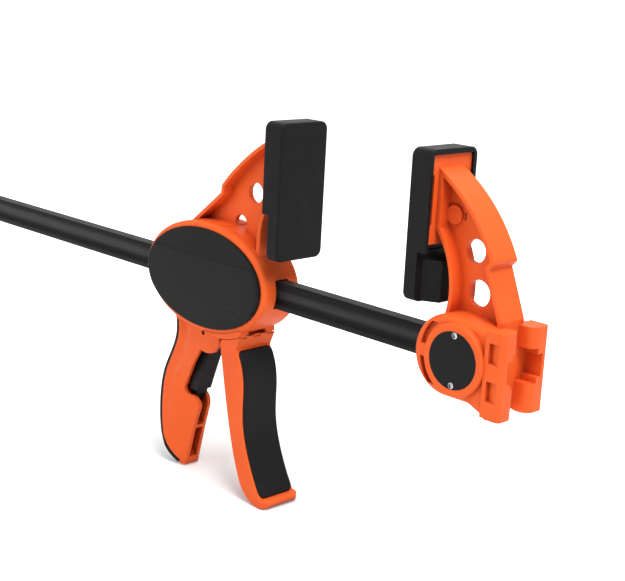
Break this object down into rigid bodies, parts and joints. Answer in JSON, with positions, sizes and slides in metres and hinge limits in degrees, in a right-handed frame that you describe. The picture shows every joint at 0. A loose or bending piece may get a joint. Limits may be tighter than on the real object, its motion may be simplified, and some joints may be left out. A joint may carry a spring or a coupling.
{
  "type": "quick release bar clamp",
  "caption": "One-handed bar clamp: a squeeze lever walks the head along a grooved bar towards a fixed jaw, and a small trigger lets the bar slide free.",
  "frame": {"origin": "centre of the head pad's clamping face", "axes": "+X out of the head pad's face, along the bar towards the fixed jaw; +Z from the bar up to the pads; +Y to the far side"},
  "size_m": [0.4731, 0.0336, 0.1964],
  "materials": {
    "orange_plastic": "satin moulded",
    "black_plastic": "fine-grained moulded",
    "pad_rubber": "smooth moulded",
    "black_steel": "blackened, satin",
    "bright_steel": "plated"
  },
  "bodies": {
    "head": {"head_body": "orange_plastic", "cover_near": "black_plastic", "cover_far": "black_plastic", "handle_strip": "black_plastic", "head_pad": "pad_rubber", "lever_pivot_pin": "bright_steel", "release_pin": "bright_steel", "drive_spring": "bright_steel", "brake_spring": "bright_steel"},
    "lever": {"squeeze_lever": "orange_plastic", "lever_grip": "black_plastic"},
    "drive": {"drive_plate_front": "bright_steel", "drive_plate_rear": "bright_steel"},
    "release": {"release_trigger": "black_plastic"},
    "brake": {"brake_plate": "bright_steel"},
    "bar_and_jaw": {"bar": "black_steel", "bar_stop_pin": "bright_steel", "fixed_jaw": "orange_plastic", "jaw_pad": "pad_rubber", "jaw_pin": "bright_steel", "disc_near": "black_plastic", "disc_far": "black_plastic", "disc_screws": "bright_steel"}
  },
  "joints": [
    {"name": "bar_slide", "type": "slide", "parent": "head", "child": "bar_and_jaw", "axis": [1, 0, 0], "range_m": [-0.08, 0.2247]},
    {"name": "lever_hinge", "type": "hinge", "parent": "head", "child": "lever", "pos_m": [-0.046, 0, -0.04], "axis": [0, 1, 0], "range_deg": [0, 15], "stiffness_Nm_per_rad": 0.4, "springref_deg": -20.05},
    {"name": "drive_slide", "type": "slide", "parent": "head", "child": "drive", "axis": [-1, 0, 0], "range_m": [0, 0.006], "deforming": ["drive_spring"]},
    {"name": "release_hinge", "type": "hinge", "parent": "head", "child": "release", "pos_m": [-0.0587, 0, -0.0825], "axis": [0, 1, 0], "range_deg": [0, 14], "stiffness_Nm_per_rad": 0.15, "springref_deg": -20.05},
    {"name": "brake_hinge", "type": "hinge", "parent": "head", "child": "brake", "pos_m": [-0.0772, 0, -0.033], "axis": [0, 1, 0], "range_deg": [0, 2.5], "deforming": ["brake_spring"]}
  ],
  "couplings": [
    {"joint": "drive_slide", "follows": "lever_hinge", "m_per_rad": 0.0225},
    {"joint": "brake_hinge", "follows": "release_hinge", "ratio": 0.17}
  ]
}
